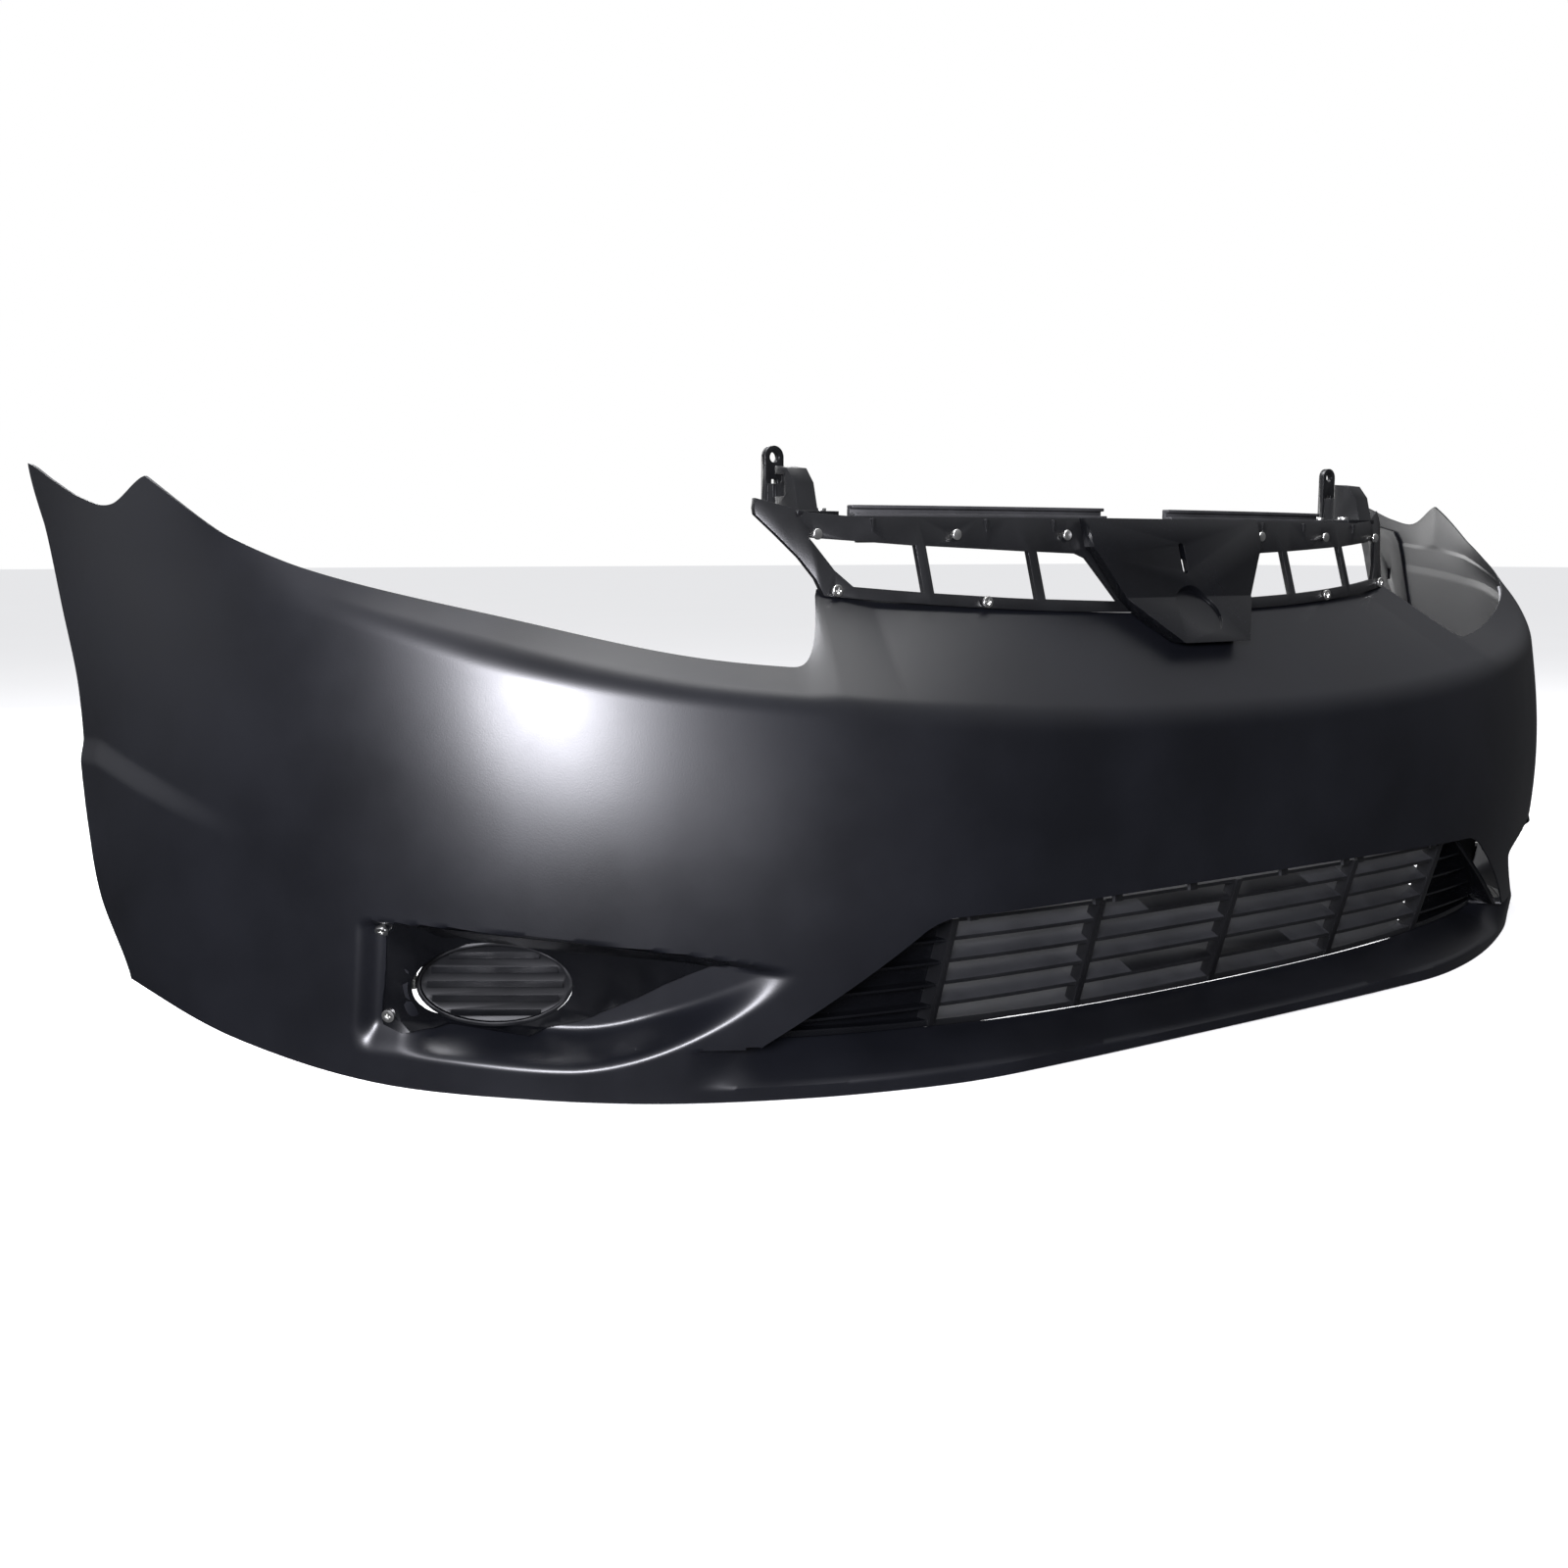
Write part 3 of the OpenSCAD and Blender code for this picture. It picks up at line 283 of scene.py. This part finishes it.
def cut_grid(point, s, k, gap):
    # Quads of the grid where gap is positive, with the boundary moved exactly on to gap = 0
    small, tries, farthest, least = 1e-4, 6, 6, 0.05
    S, K = np.meshgrid(s, k, indexing="ij")
    rows, cols = S.shape
    G = gap(point(S, K))
    keep = (G[:-1, :-1] + G[1:, :-1] + G[1:, 1:] + G[:-1, 1:]) > 0
    touch, gone = np.zeros(S.shape, int), np.zeros(S.shape, int)
    for i in (0, 1):
        for j in (0, 1):
            touch[i:rows - 1 + i, j:cols - 1 + j] += keep
            gone[i:rows - 1 + i, j:cols - 1 + j] += ~keep
    edge = (touch > 0) & (gone > 0)
    es, ek = S[edge], K[edge]
    for _ in range(tries):
        p = point(es, ek)
        g = gap(p)
        along_s, along_k = point(es + small, ek), point(es, ek + small)
        ls = np.maximum(1, np.linalg.norm((along_s - p) / small, axis=-1))
        lk = np.maximum(1, np.linalg.norm((along_k - p) / small, axis=-1))
        a, b = (gap(along_s) - g) / small / ls, (gap(along_k) - g) / small / lk
        step = np.clip(g / np.maximum(least, a * a + b * b), -farthest, farthest)
        es, ek = es - step * a / ls, ek - step * b / lk
        ek = np.clip(ek, k[0], k[-1])
    S[edge], K[edge] = es, ek
    used = touch > 0
    idx = np.full(S.shape, -1)
    idx[used] = np.arange(used.sum())
    i, j = np.nonzero(keep)
    faces = np.stack([idx[i, j], idx[i + 1, j], idx[i + 1, j + 1], idx[i, j + 1]], -1)
    return point(S, K)[used], faces


# ---------------------------------------------------------------- mesh helpers
def steps(stops):
    # evenly spaced values for each (first, last, number of steps), joined end to end
    out = [stops[0][0]]
    for a, b, n in stops:
        out += list(np.linspace(a, b, n + 1)[1:])
    return np.array(out)


def add_object(name, data):
    ob = bpy.data.objects.new(name, data)
    bpy.context.scene.collection.objects.link(ob)
    return ob


def shade(me, angle):
    me.shade_smooth()
    me.set_sharp_from_angle(angle=math.radians(angle))


def thicken(ob, t):
    m = ob.modifiers.new("thickness", "SOLIDIFY")
    m.thickness = t * MM
    m.offset = -1.0
    m.use_even_offset = True
    m.use_quality_normals = True
    m.thickness_clamp = 1.0


def apply_all(ob):
    dg = bpy.context.evaluated_depsgraph_get()
    me = bpy.data.meshes.new_from_object(ob.evaluated_get(dg))
    ob.modifiers.clear()
    old = ob.data
    ob.data = me
    bpy.data.meshes.remove(old)


def place(ob, node, mat):
    ob.data.materials.clear()
    ob.data.materials.append(mat)
    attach(ob, "root")
    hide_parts(node)


# ---------------------------------------------------------------- materials
def new_nodes(tree, *kinds):
    tree.nodes.clear()
    return [tree.nodes.new("ShaderNode" + kind) for kind in kinds]


def set_inputs(node, **values):
    for name, value in values.items():
        node.inputs[name.replace("_", " ")].default_value = value


NOISE_LOW, NOISE_HIGH = 0.35, 0.65      # between these lies most of a noise texture
ROUGH_LOW, ROUGH_HIGH = 0.93, 1.07
GRAIN_HEIGHT = 0.0004


def plastic(name, color, rough, spread, speck, grain, depth, spec=0.5, metal=0.0, glow=0.0):
    # moulded plastic, rubber or plated steel: slow tone changes, fine grain and its bump
    m = bpy.data.materials.new(name)
    m.use_nodes = True
    out, bsdf, coords, slow, fine, ramp, rough_range, bump = new_nodes(
        m.node_tree, "OutputMaterial", "BsdfPrincipled", "TexCoord", "TexNoise", "TexNoise",
        "ValToRGB", "MapRange", "Bump")
    set_inputs(slow, Scale=spread, Detail=5)
    set_inputs(fine, Scale=grain, Detail=3)
    for end, at, tone in zip(ramp.color_ramp.elements, (NOISE_LOW, NOISE_HIGH),
                             (1 - speck, 1 + speck)):
        end.position, end.color = at, [c * tone for c in color] + [1]
    set_inputs(rough_range, From_Min=NOISE_LOW, From_Max=NOISE_HIGH,
               To_Min=rough * ROUGH_LOW, To_Max=min(1, rough * ROUGH_HIGH))
    set_inputs(bump, Strength=depth, Distance=GRAIN_HEIGHT)
    set_inputs(bsdf, Specular_IOR_Level=spec, Metallic=metal,
               Emission_Color=(1, 1, 1, 1), Emission_Strength=glow)
    for a, b in (
        (coords.outputs["Object"], slow.inputs["Vector"]),
        (coords.outputs["Object"], fine.inputs["Vector"]),
        (slow.outputs["Fac"], ramp.inputs["Fac"]),
        (ramp.outputs["Color"], bsdf.inputs["Base Color"]),
        (slow.outputs["Fac"], rough_range.inputs["Value"]),
        (rough_range.outputs["Result"], bsdf.inputs["Roughness"]),
        (fine.outputs["Fac"], bump.inputs["Height"]),
        (bump.outputs["Normal"], bsdf.inputs["Normal"]),
        (bsdf.outputs["BSDF"], out.inputs["Surface"]),
    ):
        m.node_tree.links.new(a, b)
    return m


# name, colour, roughness, scale and strength of the slow tone, scale and strength of the grain
skin_mat = plastic("primed_skin", (0.0016, 0.0018, 0.0028), 0.38, 9, 0.2, 900, 0.10, spec=0.34)
base_mat = plastic("moulded_black", (0.0022, 0.0023, 0.0027), 0.36, 22, 0.2, 700, 0.16, spec=0.34)
gloss_mat = plastic("gloss_black", (0.0010, 0.0011, 0.0015), 0.26, 18, 0.2, 500, 0.05, spec=0.28)
# The slats' gray is a painted highlight, the overhead light falling on their upward tops
slat_highlight_mat = plastic("slat_painted_highlight", (0.0105, 0.0108, 0.0120), 0.46, 30, 0.15, 900, 0.2, spec=0.34)
louvre_mat = plastic("louvre_black", (0.0012, 0.0013, 0.0017), 0.40, 25, 0.2, 800, 0.1, spec=0.14)
gray_mat = plastic("moulded_gray", (0.16, 0.16, 0.17), 0.5, 20, 0.1, 900, 0.2)
rubber_mat = plastic("seal_rubber", (0.012, 0.012, 0.013), 0.6, 30, 0.2, 1200, 0.4, spec=0.4)
zinc_mat = plastic("zinc_plate", (0.75, 0.75, 0.72), 0.28, 60, 0.12, 1500, 0.15, metal=1.0)
floor_mat = plastic("studio_white", (0.62, 0.62, 0.62), 0.9, 1.5, 0.01, 30, 0.02, spec=0.0,
                    glow=0.5)

# ---------------------------------------------------------------- skin
half = steps([(0, 0.36, 96), (0.36, 0.74, 150), (0.74, 1.0, 70)])
s_all = np.concatenate([-half[:0:-1], half])
flange_rows = steps([(-1, 0, 6)])[:-1]
face_rows = steps([(0, 0.72, 96), (0.72, 1, 18), (1, 2, 12), (2, 3, 20)])
k_all = np.concatenate([flange_rows, [-0.03], face_rows])

SKIN_SHARP, NODE_SHARP = 40, 38         # degrees between faces that keep a sharp edge
verts, quads = cut_grid(skin, s_all, k_all, skin_gap)
mesh = bpy.data.meshes.new("bumper_cover_skin")
mesh.from_pydata([tuple(v) for v in verts * MM], [], quads.tolist())
mesh.validate()
mesh.update()
shade(mesh, SKIN_SHARP)
cover = add_object("bumper_cover_skin", mesh)
thicken(cover, SKIN_T)
apply_all(cover)
cover.data.set_sharp_from_angle(angle=math.radians(SKIN_SHARP))
place(cover, "bumper_cover", skin_mat)


# ---------------------------------------------------------------- CAD nodes with eased edges
SAME_POINT, FLAT_ANGLE = 2e-6, 0.6      # m, and degrees below which faces count as one


def soften(node, mat, width, angle=30, segments=2):
    src = nodes[node]
    me = src.data.copy()
    ob = add_object(node + "_visual", me)
    ob.matrix_world = src.matrix_world.copy()
    bm = bmesh.new()
    bm.from_mesh(me)
    bmesh.ops.remove_doubles(bm, verts=bm.verts, dist=SAME_POINT)
    bmesh.ops.dissolve_limit(bm, angle_limit=math.radians(FLAT_ANGLE),
                             verts=bm.verts, edges=bm.edges)
    bm.to_mesh(me)
    bm.free()
    b = ob.modifiers.new("eased_edges", "BEVEL")
    b.width, b.segments = width * MM, segments
    b.limit_method, b.angle_limit = "ANGLE", math.radians(angle)
    b.use_clamp_overlap = True
    b.harden_normals = False
    apply_all(ob)
    shade(ob.data, NODE_SHARP)
    place(ob, node, mat)
    return ob


soften("upper_grille_base", base_mat, 0.9)
soften("emblem_panel", gloss_mat, 1.2, 20, 3)
grille = soften("lower_grille", slat_highlight_mat, 0.5)
for side in ("left", "right"):
    soften("support_bracket_" + side, base_mat, 1.0)
    soften("top_seal_" + side, rubber_mat, 0.8)
    soften("fog_bezel_" + side, gloss_mat, 0.4)
    soften("fog_cover_" + side, louvre_mat, 0.6)
    soften("fog_cover_clips_" + side, zinc_mat, 0.3)
    soften("bezel_screws_" + side, zinc_mat, 0.4)
    soften("bezel_speed_nuts_" + side, zinc_mat, 0.3)
    soften("headlamp_bracket_" + side, gray_mat, 0.4)
    soften("side_retainer_" + side, base_mat, 0.4)
for name in ("nose_screws", "bracket_screws", "rail_clips", "grille_clips"):
    soften(name, zinc_mat, 0.4)

# Only the slats' tops are gray, a painted highlight of the overhead light: end zones glossy
# black, uprights matt, and fronts and undersides matt black as painted shade
GLOSS_INDEX, MATT_AND_SHADE_INDEX = 1, 2
FACES_FRONT, FACES_DOWN = -0.75, -0.2
grille.data.materials.append(gloss_mat)
grille.data.materials.append(base_mat)
# Faces turned to the front or downwards take the matt black as painted shade
for face in grille.data.polygons:
    x = abs(face.center.x) / MM
    on_upright = min(abs(x - at) for at in (0, RIB_X, SLAT_X)) < RIB_HALF
    if x > SLAT_X + RIB_HALF:
        face.material_index = GLOSS_INDEX
    elif on_upright or face.normal.y < FACES_FRONT or face.normal.z < FACES_DOWN:
        face.material_index = MATT_AND_SHADE_INDEX

# ---------------------------------------------------------------- floor
FLOOR_HALF, FLOOR_Z = 45, -0.001
floor = add_object("studio_floor", bpy.data.meshes.new("studio_floor"))
bm = bmesh.new()
bmesh.ops.create_grid(bm, x_segments=8, y_segments=8, size=FLOOR_HALF)
bm.to_mesh(floor.data)
bm.free()
floor.location.z = FLOOR_Z
floor.data.materials.append(floor_mat)
floor.visible_glossy = False

# ---------------------------------------------------------------- sky
# The camera sees plain white. As a light, the sky is dim at the horizon and brighter overhead.
world = bpy.data.worlds.new("studio")
bpy.context.scene.world = world
world.use_nodes = True
coords, split, rise, lit, seen, pick, path, out = new_nodes(
    world.node_tree, "TexCoord", "SeparateXYZ", "MapRange", "Background", "Background",
    "MixShader", "LightPath", "OutputWorld")
set_inputs(rise, From_Min=0.1, From_Max=0.75, To_Min=0.08, To_Max=0.62)
set_inputs(lit, Color=(0.94, 0.95, 1.0, 1))
set_inputs(seen, Color=(1, 1, 1, 1))
for a, b in (
    (coords.outputs["Generated"], split.inputs[0]),
    (split.outputs["Z"], rise.inputs["Value"]),
    (rise.outputs["Result"], lit.inputs["Strength"]),
    (path.outputs["Is Camera Ray"], pick.inputs["Fac"]),
    (lit.outputs[0], pick.inputs[1]),
    (seen.outputs[0], pick.inputs[2]),
    (pick.outputs[0], out.inputs["Surface"]),
):
    world.node_tree.links.new(a, b)


# ---------------------------------------------------------------- lights
def aim(ob, direction):
    ob.rotation_mode = "QUATERNION"
    ob.rotation_quaternion = direction.to_track_quat("-Z", "Y")


def area(name, loc, target, width, height, watts, color=(1, 1, 1)):
    li = bpy.data.lights.new(name, "AREA")
    li.shape, li.size, li.size_y, li.energy, li.color = "RECTANGLE", width, height, watts, color
    ob = add_object(name, li)
    ob.location = loc
    aim(ob, Vector(target) - Vector(loc))


COOL, PALE, NEUTRAL = (0.92, 0.92, 1.0), (0.95, 0.95, 1.0), (0.95, 0.96, 1.0)
area("overhead", (0.1, 0.5, 2.8), (0.0, 0.0, 0.2), 2.6, 1.6, 50)
area("key_left", (-2.0, -1.85, 0.8), (-0.64, -0.145, 0.3), 0.95, 0.4, 250, COOL)
area("top_kicker", (-0.85, 0.85, 2.5), (-0.62, -0.1, 0.05), 1.7, 0.9, 110, PALE)
area("left_fill", (-2.9, 1.3, 0.85), (-0.83, 0.13, 0.25), 1.6, 1.4, 6, NEUTRAL)
area("rear_fill", (0.5, 3.4, 1.1), (0.0, 0.0, 0.25), 3.0, 1.4, 110)

# ---------------------------------------------------------------- camera, fitted to the photo
AZIMUTH, ELEVATION = math.radians(-35.25), math.radians(7.49)
cam = bpy.data.cameras.new("camera")
cam.lens, cam.sensor_width, cam.sensor_fit = 40.5, 36.0, "HORIZONTAL"
cam.clip_start, cam.clip_end = 0.05, 200
cam_ob = add_object("camera", cam)
cam_ob.location = (-1.2154, -1.2947, 0.4166)
back = Vector((math.sin(AZIMUTH) * math.cos(ELEVATION), -math.cos(AZIMUTH) * math.cos(ELEVATION),
               math.sin(ELEVATION)))
aim(cam_ob, -back)
bpy.context.scene.camera = cam_ob
bpy.context.scene.view_settings.view_transform = "Standard"
